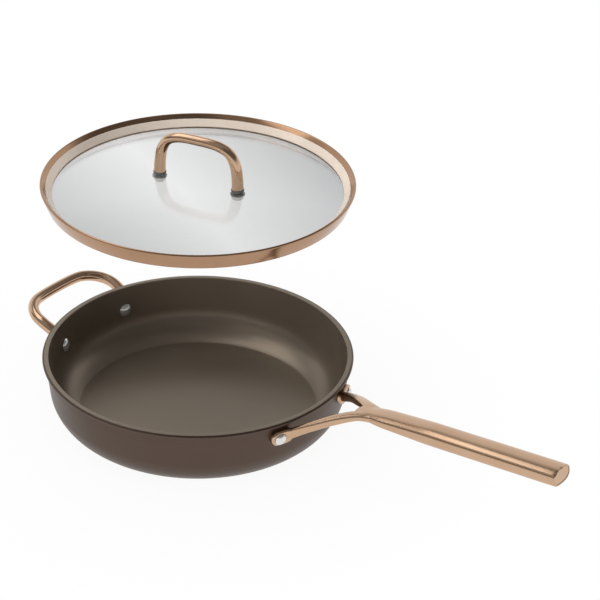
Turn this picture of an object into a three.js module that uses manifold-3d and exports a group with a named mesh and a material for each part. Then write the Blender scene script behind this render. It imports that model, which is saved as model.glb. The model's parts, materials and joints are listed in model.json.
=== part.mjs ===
// Braising pan with a forked long handle, a looped side handle and a glass lid lifted off it.
// Millimetres, +Z up. Origin at the middle of the flat underside, long handle along +X.
import * as THREE from 'three';
import { mergeVertices } from 'three/addons/utils/BufferGeometryUtils.js';
import loadManifold from 'manifold-3d';

const wasm = await loadManifold();
wasm.setup();

const DEG = Math.PI / 180;
const HALF = Math.PI / 2;

// Clearances
const GAP = 0.3;              // left between pieces that touch
const REACH = 30;             // cutters stand out this far past what they cut

// Mesh fineness, in steps
const ROUND_STEPS = 60;       // round the pan and the lid
const ROD_STEPS = 12;         // round a bent bar or a leg
const SMALL_STEPS = 16;       // round rivets, screws and rings
const STEM_STEPS = 20;        // round the stem
const CORNER_STEPS = 6;       // over the pan's corner and cove
const BEAD_STEPS = 4;         // over a rolled edge
const BEND_STEPS = 2;         // over a fold in sheet
const DOME_STEPS = 4;         // from the middle of the pane to its edge
const HEAD_STEPS = 3;         // over half of a rivet's dome
const LOOP_STEPS = 26;        // along a looped handle
const LEG_STEPS = 11;         // along a leg of the fork
const PAD_STEPS = 6;          // round each end of a pad

// Pan
const LIP_R = 152;            // outer radius over the lip
const RIM_Z = 68.75;          // top of the lip above the underside
const LIP_T = 3.5;            // height of the rounded lip
const LIP_REACH = 3.2;        // how far the lip stands out from the wall
const LIP_FILLET = 1.2;       // under the lip
const LIP_INNER_FILLET = 0.8;
const WALL_T = 3.2;
const WALL_LEAN = 6 * DEG;    // the wall opens upwards
const CORNER_R = 38;          // outside, between wall and underside
const FLOOR_T = 7.5;
const COVE_R = 34;            // inside, between wall and floor
const FLOOR_EDGE = 14 * DEG;  // the cove meets the floor at this angle, in an edge that shows

// Rivets and pads
const RIVET_HEAD_R = 6;       // on the pad
const RIVET_INNER_R = 7;      // inside the pan
const RIVET_DOME = 2.8;
const RIVET_EDGE = 0.5;
const RIVET_SHANK_R = 3;
const PAD_T = 5.6;
const PAD_BEVEL = 0.8;

// Long handle. Reaches are measured out from the lip, heights from the rim.
const LONG_RIVET_ANGLE = 20 * DEG;
const LONG_RIVET_DROP = 15;
const LONG_PAD_L = 24;
const LONG_PAD_H = 14.8;
const LONG_PAD_SHIFT = 3.2;   // the pad's middle lies nearer the stem than its rivet
const STEM_PATH = [[42, 11.4], [70, 14.3], [123, 19.6], [261.5, 34]];   // reach and height
// Fraction of the stem's length, half width and half height there
const STEM_SIZES = [
  [0, 5, 2.6], [0.03, 9, 3.3], [0.13, 12.6, 5.8], [0.37, 13.2, 8.3], [0.97, 13.6, 8.2], [1, 12.9, 7.6],
];
const STEM_TOP_FLATNESS = 4.2;
const STEM_BOTTOM_FLATNESS = 2.5;
const STEM_WALL = 2.4;
const STEM_HOLLOW_FROM = 0.22;
// Middle line of a leg: reach, distance from the handle's upright plane, height
const LEG_PATH = [[76, 4.5, 14.6], [60, 6.2, 13.4], [48, 9.6, 12.1], [30.5, 20, 6], [11.5, 32.6, -3.6]];
const LEG_END_ANGLE = 3.5 * DEG;   // a leg enters its pad this far short of the rivet
// Fraction of a leg's length from the stem to the pad, half width and half height there
const LEG_SIZES = [[0, 4.5, 3], [0.3, 5.6, 3.2], [0.5, 5, 4], [0.8, 3.4, 4.2], [1, 2.8, 5]];
const LEG_FLATNESS = 4;
const CAP_T = 2.5;
const CAP_RIM = 1.6;          // metal left round the cap
const CAP_INSET = 0.5;

// Side handle
const SIDE_RIVET_ANGLE = 18.4 * DEG;
const SIDE_RIVET_DROP = 25.25;
const SIDE_PAD_W = 17;
const SIDE_PAD_L = 28;
const SIDE_PAD_SHIFT = 5;     // the pad reaches up from its rivet to the bar
const SIDE_ROOT_DROP = 12.75; // where the bar leaves the pad
const SIDE_ROOT_ANGLE = 20 * DEG;
const SIDE_BAR_REACH = 36.5;
const SIDE_BAR_RISE = 2.45;
const SIDE_SPLAY = 2;         // each leg stands this much wider than its root
const SIDE_BEND_R = 30;
const SIDE_EASE = 0.6;        // below 1 the legs rise most near the wall
const SIDE_HALF = [5.8, 5.3]; // half thickness at the legs and in the middle of the bar

// Lid. Its heights are measured from a level just under the middle of the rim.
const LIFT = 180.2;           // how far the lid is lifted off its seat
const LID_TURN = 12.5 * DEG;
const LID_OVERHANG = 1.85;    // the bead reaches this far out past the pan's mouth
const SEAT_GAP = 0.5;         // left between the lid's flare and the lip where it rests
const SHEET_T = 0.8;          // metal of the rim
const FLARE = 21 * DEG;       // lean of the rim's outer side
const BEAD_R = 1;             // middle line of the rolled top edge
const BEAD_Z = 9.6;
const CHANNEL_GRIP = 4.7;     // the rim's lower leg, under the pane
const FLANGE_W = 4.4;         // its upper leg, to the fold where the slope starts
const FOLD_BEND = 0.75;
const GLASS_T = 4;
const GLASS_Z = -3.6;         // underside of the pane's edge
const DOME_MARGIN = 1.1;      // flat edge of the pane that shows inside the fold
const DOME_RISE = 9.5;

// Lid handle
const FOOT_U = 41;            // from the lid's axis to each foot
const LOOP_HALF = [5.7, 4.6]; // half thickness at the feet and at the middle of the bar
const LOOP_HALF_W = [5.7, 5.2];
// Middle line of the loop: how far in from the foot, height above it
const LOOP_PATH = [[0.6, 11], [2.8, 23.2], [8.5, 33.2], [19, 38.2]];
const LOOP_TOP = 39.6;
const RING_LIP = 0.5;         // the ring stands out this far round the foot
const RING_T = 1.8;
const SCREW_R = 2.5;
const SCREW_HEAD_R = 6;
const SCREW_HEAD_T = 3;
const SCREW_CHAMFER = 0.5;
const SCREW_BITE = 14;        // depth of thread in the foot
const SEAL_R = 7;
const SEAL_T = 1.5;

const FINISH = {
  pan: { color: 0x54463d, roughness: 0.45, metalness: 0.6 },
  roseGold: { color: 0xcda07f, roughness: 0.28, metalness: 1 },
  rim: { color: 0xb08a6c, roughness: 0.3, metalness: 1 },
  steel: { color: 0xd8d8d6, roughness: 0.2, metalness: 1 },
  glass: { color: 0xe4e8e6, roughness: 0.05, metalness: 0 },
  silicone: { color: 0x464848, roughness: 0.7, metalness: 0 },
};

// Straight copy of a geometry as a manifold solid
function solid(geometry) {
  const bare = geometry.clone();
  bare.deleteAttribute('normal');
  bare.deleteAttribute('uv');
  const welded = mergeVertices(bare, 1e-4);
  return new wasm.Manifold(new wasm.Mesh({
    numProp: 3,
    vertProperties: new Float32Array(welded.attributes.position.array),
    triVerts: new Uint32Array(welded.index.array),
  }));
}

function geometryOf(body) {
  const mesh = body.getMesh();
  const geometry = new THREE.BufferGeometry();
  geometry.setAttribute('position', new THREE.BufferAttribute(mesh.vertProperties, 3));
  geometry.setIndex(new THREE.BufferAttribute(mesh.triVerts, 1));
  geometry.computeVertexNormals();
  return geometry;
}

function node(name, geometry, finish) {
  const mesh = new THREE.Mesh(geometry, new THREE.MeshStandardMaterial(finish));
  mesh.name = name;
  return mesh;
}

const UP = new THREE.Vector3(0, 0, 1);
const point = (r, z) => new THREE.Vector2(r, z);

function arc(r, z, radius, from, to, steps) {
  const points = [];
  for (let i = 0; i <= steps; i += 1) {
    const angle = from + (to - from) * (i / steps);
    points.push(point(r + radius * Math.cos(angle), z + radius * Math.sin(angle)));
  }
  return points;
}

// Turns a profile of radius and height about the Z axis
function turned(profile, steps = ROUND_STEPS) {
  return new THREE.LatheGeometry(profile, steps).rotateX(HALF);
}

function cylinder(radius, from, to) {
  return turned([point(0, from), point(radius, from), point(radius, to), point(0, to)], SMALL_STEPS);
}

// Section with half sizes a and b; a flatness of 2 is an ellipse, more is squarer
function section(a, b, steps, topFlatness = 2, bottomFlatness = topFlatness) {
  const points = [];
  for (let i = 0; i < steps; i += 1) {
    const angle = (2 * Math.PI * i) / steps;
    const power = 2 / (Math.sin(angle) >= 0 ? topFlatness : bottomFlatness);
    const u = Math.sign(Math.cos(angle)) * Math.abs(Math.cos(angle)) ** power;
    const v = Math.sign(Math.sin(angle)) * Math.abs(Math.sin(angle)) ** power;
    points.push(point(a * u, b * v));
  }
  return points;
}

// Closed skin through sections set square to a curve; `upright` gives their v direction
function swept(curve, fractions, sectionAt, upright) {
  const positions = [];
  const index = [];
  const rings = fractions.map((t) => {
    const middle = curve.getPointAt(t);
    const along = curve.getTangentAt(t);
    const v = upright.clone().addScaledVector(along, -along.dot(upright)).normalize();
    const u = v.clone().cross(along);
    const ring = sectionAt(t).map((p) => middle.clone().addScaledVector(u, p.x).addScaledVector(v, p.y));
    return { middle, ring };
  });
  const count = rings[0].ring.length;
  rings.forEach(({ ring }) => ring.forEach((p) => positions.push(p.x, p.y, p.z)));
  const firstEnd = rings.length * count;
  const last = (rings.length - 1) * count;
  [rings[0], rings[rings.length - 1]].forEach(({ middle }) => positions.push(middle.x, middle.y, middle.z));
  for (let j = 0; j < count; j += 1) {
    const next = (j + 1) % count;
    for (let i = 0; i < last; i += count) {
      index.push(i + j, i + next, i + count + next, i + j, i + count + next, i + count + j);
    }
    index.push(firstEnd, next, j, firstEnd + 1, last + j, last + next);
  }
  const geometry = new THREE.BufferGeometry();
  geometry.setAttribute('position', new THREE.Float32BufferAttribute(positions, 3));
  geometry.setIndex(index);
  return geometry;
}

const evenly = (steps) => Array.from({ length: steps + 1 }, (unused, i) => i / steps);
const between = ([from, to], t) => from + (to - from) * t;
// 0 at both ends of a loop and 1 in its middle
const towardsMiddle = (t) => Math.sin(Math.PI * t);

// Outer radius of the wall's straight part at height z
const lipUnderside = RIM_Z - LIP_T;
const wallAt = (z) => LIP_R - LIP_REACH + (z - lipUnderside) * Math.tan(WALL_LEAN);
const innerWallAt = (z) => wallAt(z) - WALL_T / Math.cos(WALL_LEAN);

// Frame on the wall's outside: x along the wall, y up it, z out of it
function wallFrame(angle, z) {
  const radial = new THREE.Vector3(Math.cos(angle), Math.sin(angle), 0);
  const outward = radial.clone().multiplyScalar(Math.cos(WALL_LEAN)).setZ(-Math.sin(WALL_LEAN));
  const along = new THREE.Vector3(-Math.sin(angle), Math.cos(angle), 0);
  const upward = outward.clone().cross(along);
  const frame = new THREE.Matrix4().makeBasis(along, upward, outward);
  return frame.setPosition(radial.multiplyScalar(wallAt(z)).setZ(z));
}

const longRivetZ = RIM_Z - LONG_RIVET_DROP;
const longRivets = {
  front: wallFrame(-LONG_RIVET_ANGLE, longRivetZ),
  back: wallFrame(LONG_RIVET_ANGLE, longRivetZ),
};
const sideRivetZ = RIM_Z - SIDE_RIVET_DROP;
const sideRivets = {
  front: wallFrame(Math.PI + SIDE_RIVET_ANGLE, sideRivetZ),
  back: wallFrame(Math.PI - SIDE_RIVET_ANGLE, sideRivetZ),
};
const rivetHole = (frame) => solid(cylinder(RIVET_SHANK_R + GAP, -REACH, REACH).applyMatrix4(frame));

// What is cut from a handle at a rivet: the shank's hole and room for the head on the pad
function rivetRoom(frame) {
  const head = cylinder(RIVET_HEAD_R + GAP, PAD_T, PAD_T + REACH);
  return rivetHole(frame).add(solid(head.applyMatrix4(frame)));
}

function panBody() {
  const bead = LIP_T / 2;
  const cornerAt = wallAt(CORNER_R) - CORNER_R / Math.cos(WALL_LEAN);
  const coveZ = FLOOR_T + COVE_R * Math.cos(FLOOR_EDGE);
  const coveAt = innerWallAt(coveZ) - COVE_R / Math.cos(WALL_LEAN);
  const inner = LIP_INNER_FILLET;
  const profile = [
    point(0, 0),
    ...arc(cornerAt, CORNER_R, CORNER_R, -HALF, -WALL_LEAN, CORNER_STEPS),
    ...arc(wallAt(lipUnderside) + LIP_FILLET, lipUnderside - LIP_FILLET, LIP_FILLET, Math.PI, HALF, 1),
    ...arc(LIP_R - bead, RIM_Z - bead, bead, -HALF, HALF, BEAD_STEPS),
    ...arc(innerWallAt(RIM_Z) + inner, RIM_Z - inner, inner, HALF, Math.PI - WALL_LEAN, 1),
    ...arc(coveAt, coveZ, COVE_R, -WALL_LEAN, FLOOR_EDGE - HALF, CORNER_STEPS),
    point(0, FLOOR_T),
  ];
  const holes = [...Object.values(longRivets), ...Object.values(sideRivets)].map(rivetHole);
  return geometryOf(holes.reduce((body, hole) => body.subtract(hole), solid(turned(profile))));
}

// What a handle may not enter: the pan's wall and lip with a gap round them
function panSpace() {
  const top = RIM_Z + CORNER_R;
  const under = lipUnderside - LIP_FILLET - GAP;
  return solid(turned([
    point(0, 0),
    point(wallAt(0) + GAP, 0),
    point(wallAt(under) + GAP, under),
    point(LIP_R + GAP, under),
    point(LIP_R + GAP, top),
    point(0, top),
  ]));
}

// Round-ended pad on the wall, long along x of the wall's frame, or along y if `upright`
function pad(frame, length, width, shift, upright) {
  const shape = new THREE.Shape();
  const end = (length - width) / 2;
  shape.absarc(end, 0, width / 2, -HALF, HALF, false);
  shape.absarc(-end, 0, width / 2, HALF, HALF + Math.PI, false);
  const geometry = new THREE.ExtrudeGeometry(shape, {
    depth: 2 * (PAD_T - PAD_BEVEL),
    bevelThickness: PAD_BEVEL,
    bevelSize: PAD_BEVEL,
    bevelOffset: -PAD_BEVEL,
    bevelSegments: 1,
    curveSegments: PAD_STEPS,
  });
  geometry.translate(shift, 0, PAD_BEVEL - PAD_T);
  return solid(geometry.rotateZ(upright ? HALF : 0).applyMatrix4(frame));
}

// Value of a column of a list of sizes at fraction t
function sizeAt(sizes, t, column) {
  const next = Math.max(1, sizes.findIndex((row) => row[0] >= t));
  const [before, after] = [sizes[next - 1], sizes[next]];
  return between([before[column], after[column]], (t - before[0]) / (after[0] - before[0]));
}

const fromLip = (reach, y, height) => new THREE.Vector3(LIP_R + reach, y, RIM_Z + height);
const stemCurve = new THREE.CatmullRomCurve3(STEM_PATH.map(([reach, height]) => fromLip(reach, 0, height)));

// Stem's outer skin drawn in by `inset`, over part of its length
function stem(fractions, inset) {
  const sectionAt = (t) => {
    const [a, b] = [1, 2].map((column) => sizeAt(STEM_SIZES, t, column) - inset);
    return section(a, b, STEM_STEPS, STEM_TOP_FLATNESS, STEM_BOTTOM_FLATNESS);
  };
  return swept(stemCurve, fractions, sectionAt, UP);
}

function leg(side) {
  const angle = LONG_RIVET_ANGLE - LEG_END_ANGLE;
  const end = new THREE.Vector3(Math.cos(angle), side * Math.sin(angle), 0);
  end.multiplyScalar(wallAt(longRivetZ) + PAD_T / 2).setZ(longRivetZ);
  const path = LEG_PATH.map(([reach, y, height]) => fromLip(reach, side * y, height));
  const curve = new THREE.CatmullRomCurve3([...path, end]);
  const sectionAt = (t) => section(
    sizeAt(LEG_SIZES, t, 1), sizeAt(LEG_SIZES, t, 2), ROD_STEPS, LEG_FLATNESS,
  );
  return solid(swept(curve, evenly(LEG_STEPS), sectionAt, UP));
}

// Room inside the stem, drawn in by `inset` and open at the stem's outer end
function stemRoom(fractions, inset) {
  const beyond = stemCurve.getTangentAt(1).multiplyScalar(CAP_T);
  const room = solid(stem(fractions, inset));
  return room.add(room.translate(beyond.x, beyond.y, beyond.z));
}

const capFrom = 1 - (CAP_T + CAP_INSET) / stemCurve.getLength();

function longHandle() {
  const stations = STEM_SIZES.map((row) => row[0]);
  let body = solid(stem(stations, 0)).add(leg(1)).add(leg(-1));
  for (const [side, frame] of Object.entries(longRivets)) {
    const shift = side === 'front' ? LONG_PAD_SHIFT : -LONG_PAD_SHIFT;
    body = body.add(pad(frame, LONG_PAD_L, LONG_PAD_H, shift, false)).subtract(rivetRoom(frame));
  }
  const hollow = [STEM_HOLLOW_FROM, ...stations.filter((t) => t > STEM_HOLLOW_FROM)];
  body = body.subtract(stemRoom(hollow, STEM_WALL)).subtract(stemRoom([capFrom, 1], CAP_RIM));
  return geometryOf(body.subtract(panSpace()));
}

function endCap() {
  const length = stemCurve.getLength();
  return stem([capFrom + GAP / length, 1 - CAP_INSET / length], CAP_RIM + GAP);
}

// Arc of a rivet's head from its middle to its edge, above height `foot`
function headArc(headR, foot) {
  const ballR = (headR ** 2 + RIVET_DOME ** 2) / (2 * RIVET_DOME);
  const spread = Math.asin(headR / ballR);
  const points = arc(0, foot + RIVET_DOME - ballR, ballR, HALF, HALF - spread, HEAD_STEPS);
  return [point(0, foot + RIVET_DOME), ...points.slice(1)];
}

// Domed heads inside the wall and on a pad, with the shank between them
function rivet() {
  const inner = -WALL_T - 2 * GAP;
  const outer = PAD_T + GAP;
  return turned([
    ...headArc(RIVET_INNER_R, RIVET_EDGE - inner).map((p) => point(p.x, -p.y)),
    point(RIVET_INNER_R, inner),
    point(RIVET_SHANK_R, inner),
    point(RIVET_SHANK_R, outer),
    point(RIVET_HEAD_R, outer),
    ...headArc(RIVET_HEAD_R, outer + RIVET_EDGE).reverse(),
  ], SMALL_STEPS);
}

function sideHandle() {
  const rootZ = RIM_Z - SIDE_ROOT_DROP;
  const rootX = wallAt(rootZ) * Math.cos(SIDE_ROOT_ANGLE);
  const rootY = wallAt(rootZ) * Math.sin(SIDE_ROOT_ANGLE);
  const barX = LIP_R + SIDE_BAR_REACH;
  const rise = RIM_Z + SIDE_BAR_RISE - rootZ;
  const bend = arc(barX - SIDE_BEND_R, rootY + SIDE_SPLAY - SIDE_BEND_R, SIDE_BEND_R, HALF, 0, BEAD_STEPS);
  const points = [point(rootX, rootY), ...bend].map(({ x, y }) => {
    const height = rise * ((x - rootX) / (barX - rootX)) ** SIDE_EASE;
    return new THREE.Vector3(-x, y, rootZ + height);
  });
  const otherHalf = points.map((p) => new THREE.Vector3(p.x, -p.y, p.z)).reverse();
  const curve = new THREE.CatmullRomCurve3([...points, ...otherHalf]);
  const sectionAt = (t) => {
    const half = between(SIDE_HALF, towardsMiddle(t));
    return section(half, half, ROD_STEPS);
  };
  let body = solid(swept(curve, evenly(LOOP_STEPS), sectionAt, UP));
  for (const frame of Object.values(sideRivets)) {
    body = body.add(pad(frame, SIDE_PAD_L, SIDE_PAD_W, SIDE_PAD_SHIFT, true)).subtract(rivetRoom(frame));
  }
  return geometryOf(body.subtract(panSpace()));
}

// Closed outline of a sheet bent along a path
function sheetOutline(path, thickness) {
  const offset = (side) => path.map((p, i) => {
    const before = p.clone().sub(path[Math.max(0, i - 1)]).normalize();
    const after = path[Math.min(path.length - 1, i + 1)].clone().sub(p).normalize();
    const one = before.lengthSq() > 0 ? before : after;
    const two = after.lengthSq() > 0 ? after : before;
    const along = one.clone().add(two).normalize();
    const reach = (side * thickness) / 2 / along.dot(one);
    return point(p.x + along.y * reach, p.y - along.x * reach);
  });
  const outline = [...offset(1), ...offset(-1).reverse()];
  return [...outline, outline[0].clone()];
}

// Radii of the lid, from the pan's mouth
const mouthR = innerWallAt(RIM_Z);
const beadR = mouthR + LID_OVERHANG - SHEET_T / 2 - BEAD_R;
// Middle of the sheet on the rim's outer side, a cone that touches the bead
const flareAt = (z) => beadR + BEAD_R / Math.cos(FLARE) + (z - BEAD_Z) * Math.tan(FLARE);
const flareHalf = SHEET_T / 2 / Math.cos(FLARE);
const glassR = flareAt(GLASS_Z) - flareHalf - GAP;
const foldR = glassR - FLANGE_W;
const domeR = foldR - DOME_MARGIN;
const glassTop = GLASS_Z + GLASS_T;
const dome = (r) => DOME_RISE * (1 - (r / domeR) ** 2);

// Height of the lid on its seat, where the flare rests on the rounded inner edge of the lip
const restR = mouthR + LIP_INNER_FILLET - (LIP_INNER_FILLET + SEAT_GAP) / Math.cos(FLARE) - flareHalf;
const restZ = BEAD_Z + (restR - flareAt(BEAD_Z)) / Math.tan(FLARE);
const seatZ = RIM_Z - LIP_INNER_FILLET - restZ;

// One bent sheet: upper leg on the pane, fold, slope, rolled bead, flare and lower leg under the pane
function lidRim() {
  const half = SHEET_T / 2;
  const lower = GLASS_Z - GAP - half;
  const upper = glassTop + GAP + half;
  const slope = Math.atan2(BEAD_Z + BEAD_R - upper - 2 * FOLD_BEND, beadR - foldR);
  const path = [
    point(glassR, upper),
    ...arc(foldR, upper + FOLD_BEND, FOLD_BEND, -HALF, -3 * HALF + slope, BEND_STEPS),
    ...arc(beadR, BEAD_Z, BEAD_R, HALF + slope, -FLARE, BEAD_STEPS),
    point(flareAt(lower), lower),
    point(flareAt(lower) - CHANNEL_GRIP, lower),
  ];
  return turned(sheetOutline(path, SHEET_T));
}

const feet = { left: -FOOT_U, right: FOOT_U };

function lidGlass() {
  const radii = Array.from({ length: DOME_STEPS + 1 }, (unused, i) => (domeR * i) / DOME_STEPS);
  const profile = [
    ...radii.map((r) => point(r, GLASS_Z + dome(r))),
    point(glassR, GLASS_Z),
    point(glassR, glassTop),
    ...radii.map((r) => point(r, glassTop + dome(r))).reverse(),
  ];
  const hole = (x) => solid(cylinder(SCREW_R + GAP, -REACH, REACH).translate(x, 0, 0));
  const holes = Object.values(feet).map(hole);
  return geometryOf(holes.reduce((body, cut) => body.subtract(cut), solid(turned(profile))));
}

// What is stacked at each foot
const ringR = LOOP_HALF[0] + RING_LIP;
const ringZ = glassTop + dome(FOOT_U - ringR) + GAP;
const footZ = ringZ + RING_T + GAP;
const sealTop = GLASS_Z + dome(FOOT_U + SEAL_R) - GAP;
const screwSeat = sealTop - SEAL_T - GAP;

function lidHandle() {
  const side = (sign) => [[0, 0], ...LOOP_PATH].map(
    ([inward, height]) => new THREE.Vector3(sign * (FOOT_U - inward), 0, footZ + height),
  );
  const top = new THREE.Vector3(0, 0, footZ + LOOP_TOP);
  const curve = new THREE.CatmullRomCurve3([...side(-1), top, ...side(1).reverse()]);
  const sectionAt = (t) => {
    const middle = towardsMiddle(t);
    return section(between(LOOP_HALF, middle), between(LOOP_HALF_W, middle), ROD_STEPS);
  };
  const bar = solid(swept(curve, evenly(LOOP_STEPS), sectionAt, new THREE.Vector3(0, 1, 0)));
  const thread = solid(cylinder(SCREW_R + GAP, footZ - REACH, footZ + SCREW_BITE + GAP));
  const bore = thread.add(solid(cylinder(ringR, footZ - REACH, footZ)));
  return geometryOf(Object.values(feet).reduce((body, x) => body.subtract(bore.translate(x, 0, 0)), bar));
}

function washer(inner, outer, from, to) {
  return turned([
    point(inner, from), point(outer, from), point(outer, to), point(inner, to), point(inner, from),
  ], SMALL_STEPS);
}

function screw() {
  const headEnd = screwSeat - SCREW_HEAD_T;
  const tip = footZ + SCREW_BITE;
  return turned([
    point(0, headEnd),
    point(SCREW_HEAD_R - SCREW_CHAMFER, headEnd),
    point(SCREW_HEAD_R, headEnd + SCREW_CHAMFER),
    point(SCREW_HEAD_R, screwSeat),
    point(SCREW_R, screwSeat),
    point(SCREW_R, tip - SCREW_CHAMFER),
    point(SCREW_R - SCREW_CHAMFER, tip),
    point(0, tip),
  ], SMALL_STEPS);
}

const pan = new THREE.Group();
pan.add(node('pan_body', panBody(), FINISH.pan));
pan.add(node('long_handle', longHandle(), FINISH.roseGold));
pan.add(node('long_handle_end_cap', endCap(), FINISH.roseGold));
pan.add(node('side_handle', sideHandle(), FINISH.roseGold));
for (const [side, frame] of Object.entries(longRivets)) {
  pan.add(node(`long_handle_rivet_${side}`, rivet().applyMatrix4(frame), FINISH.steel));
}
for (const [side, frame] of Object.entries(sideRivets)) {
  pan.add(node(`side_handle_rivet_${side}`, rivet().applyMatrix4(frame), FINISH.steel));
}

const lid = new THREE.Group();
lid.position.z = seatZ + LIFT;
lid.rotation.z = LID_TURN;
lid.add(node('lid_rim', lidRim(), FINISH.rim));
lid.add(node('lid_glass', lidGlass(), FINISH.glass));
lid.add(node('lid_handle', lidHandle(), FINISH.roseGold));
for (const [side, x] of Object.entries(feet)) {
  const hole = SCREW_R + GAP;
  const ring = washer(hole, ringR, ringZ, ringZ + RING_T).translate(x, 0, 0);
  const seal = washer(hole, SEAL_R, sealTop - SEAL_T, sealTop).translate(x, 0, 0);
  lid.add(node(`lid_handle_ring_${side}`, ring, FINISH.silicone));
  lid.add(node(`lid_handle_seal_${side}`, seal, FINISH.silicone));
  lid.add(node(`lid_handle_screw_${side}`, screw().translate(x, 0, 0), FINISH.steel));
}

const object = new THREE.Group();
object.add(pan, lid);

export default object;
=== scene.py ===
import json
import math

import bmesh
import bpy
import numpy
from mathutils import Matrix, Vector
from mathutils.bvhtree import BVHTree
from mathutils.interpolate import poly_3d_calc

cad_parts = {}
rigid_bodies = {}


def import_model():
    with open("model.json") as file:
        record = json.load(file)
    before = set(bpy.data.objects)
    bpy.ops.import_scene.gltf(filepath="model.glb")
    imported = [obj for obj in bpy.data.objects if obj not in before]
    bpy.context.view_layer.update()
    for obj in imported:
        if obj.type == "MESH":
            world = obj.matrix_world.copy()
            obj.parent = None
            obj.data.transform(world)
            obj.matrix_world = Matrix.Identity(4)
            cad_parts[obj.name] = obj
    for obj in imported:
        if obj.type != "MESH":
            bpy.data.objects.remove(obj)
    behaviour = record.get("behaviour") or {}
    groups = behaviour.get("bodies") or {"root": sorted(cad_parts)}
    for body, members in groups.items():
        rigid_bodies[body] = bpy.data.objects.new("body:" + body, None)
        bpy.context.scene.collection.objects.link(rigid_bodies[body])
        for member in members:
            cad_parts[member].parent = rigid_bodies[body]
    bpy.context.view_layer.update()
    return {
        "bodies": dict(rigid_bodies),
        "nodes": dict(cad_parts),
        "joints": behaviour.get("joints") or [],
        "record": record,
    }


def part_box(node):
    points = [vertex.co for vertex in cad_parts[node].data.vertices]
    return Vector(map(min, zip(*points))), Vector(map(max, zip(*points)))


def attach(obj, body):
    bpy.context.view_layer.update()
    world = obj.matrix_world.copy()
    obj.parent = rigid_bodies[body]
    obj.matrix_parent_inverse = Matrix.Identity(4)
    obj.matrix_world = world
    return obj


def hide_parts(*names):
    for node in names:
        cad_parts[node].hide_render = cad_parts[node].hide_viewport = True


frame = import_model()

DEG = math.pi / 180
HALF = math.pi / 2
UP = Vector((0, 0, 1))

# Clearances
GAP = 0.0003                 # left between pieces that touch
LEG_GAP = 0.0001             # left between the pane and the rim's upper leg
CAP_GAP = 0.0002             # left round the handle's end plate
REACH = 0.03                 # cutters stand out this far past what they cut
TINY = 1e-7                  # lengths below this count as none

# Mesh fineness
ROUND_STEPS = 224            # round the pan and the lid
SMALL_STEPS = 56             # round rivets, screws and rings
ROD_STEPS = 96               # round a bent bar, a leg or the stem
PATH_STEPS = 240             # along a bent bar, a leg or the stem
CORNER_STEPS = 42            # over the pan's corner and cove
ARC_STEPS = 14               # over a rounded corner
EDGE_STEPS = 4               # over a small rounded edge
KNOT_STEPS = 24              # between two knots of a curve, before it is divided evenly
VOXEL = 0.0005               # grain of the handles' fused skins
SOFTENING = 0.5              # share of the way that a corner moves each time a skin is smoothed
SKIN_NEAR = 0.0011           # a skin this close to a part it was fused from is shaded like it,
SKIN_ALONG = 0.8             # if the cosine between their normals is more than this
SKIN_BLEND = 24              # times that a skin's shading is then blended from corner to corner
CREASE = 35 * DEG            # edges sharper than this stay sharp

# Pan, with its lip's radius and height from the frame
LIP_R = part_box("pan_body")[1][0]
RIM_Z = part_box("pan_body")[1][2]
LIP_T = 0.0035
LIP_REACH = 0.0032
LIP_FILLET = 0.0012
LIP_INNER_FILLET = 0.0008
WALL_T = 0.0032
WALL_LEAN = 6 * DEG
CORNER_R = 0.038
FLOOR_T = 0.0075
COVE_R = 0.034
FLOOR_EDGE = 14 * DEG        # the cove meets the floor at this angle

# Rivets and pads
RIVET_HEAD_R = 0.006         # on the pad
RIVET_INNER_R = 0.007        # inside the pan
RIVET_DOME = 0.0028
RIVET_EDGE = 0.0005
RIVET_SHANK_R = 0.003
PAD_T = 0.0056
PAD_ROUND = 0.0008

# Long handle. Reaches are measured out from the lip, heights from the rim.
LONG_RIVET_ANGLE = 20 * DEG
LONG_RIVET_DROP = 0.015
LONG_PAD_L = 0.024
LONG_PAD_H = 0.0148
LONG_PAD_SHIFT = 0.0032
STEM_PATH = [(0.042, 0.0114), (0.07, 0.0143), (0.123, 0.0196), (0.2615, 0.034)]
# Fraction of the stem's length, half width and half height there
STEM_SIZES = [
    (0, 0.005, 0.0026), (0.03, 0.009, 0.0033), (0.13, 0.0126, 0.0058),
    (0.37, 0.0132, 0.0083), (0.97, 0.0136, 0.0082), (1, 0.0134, 0.008),
]
STEM_TOP_FLATNESS = 2.8
STEM_BOTTOM_FLATNESS = 2.5
# Middle line of a leg: reach, distance from the handle's upright plane, height
LEG_PATH = [
    (0.076, 0.0045, 0.0146), (0.06, 0.0062, 0.0134), (0.048, 0.0096, 0.0121),
    (0.0305, 0.02, 0.006), (0.0115, 0.0326, -0.0036),
]
LEG_END_ANGLE = 3.5 * DEG
# Fraction of a leg's length from the stem to the pad, half width and half height there
LEG_SIZES = [
    (0, 0.0045, 0.003), (0.3, 0.0056, 0.0032), (0.5, 0.005, 0.004),
    (0.8, 0.0034, 0.0042), (1, 0.0028, 0.005),
]
LEG_FLATNESS = 4
EASE = 0.03                  # changes of size are eased over this fraction of the length, each way
EASE_STEPS = 4
CAP_T = 0.0025
CAP_RIM = 0.0016
CAP_INSET = 0.0003
FORK_SMOOTHING = 10

# Side handle
SIDE_RIVET_ANGLE = 18.4 * DEG
SIDE_RIVET_DROP = 0.02525
SIDE_PAD_W = 0.017
SIDE_PAD_L = 0.028
SIDE_PAD_SHIFT = 0.005
SIDE_ROOT_DROP = 0.01275
SIDE_ROOT_ANGLE = 20 * DEG
SIDE_BAR_REACH = 0.0365
SIDE_BAR_RISE = 0.00245
SIDE_SPLAY = 0.002
SIDE_BEND_R = 0.03
SIDE_EASE = 0.6
SIDE_HALF = (0.0058, 0.0053)
SIDE_BEND_STEPS = 4
SIDE_SMOOTHING = 8

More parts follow.
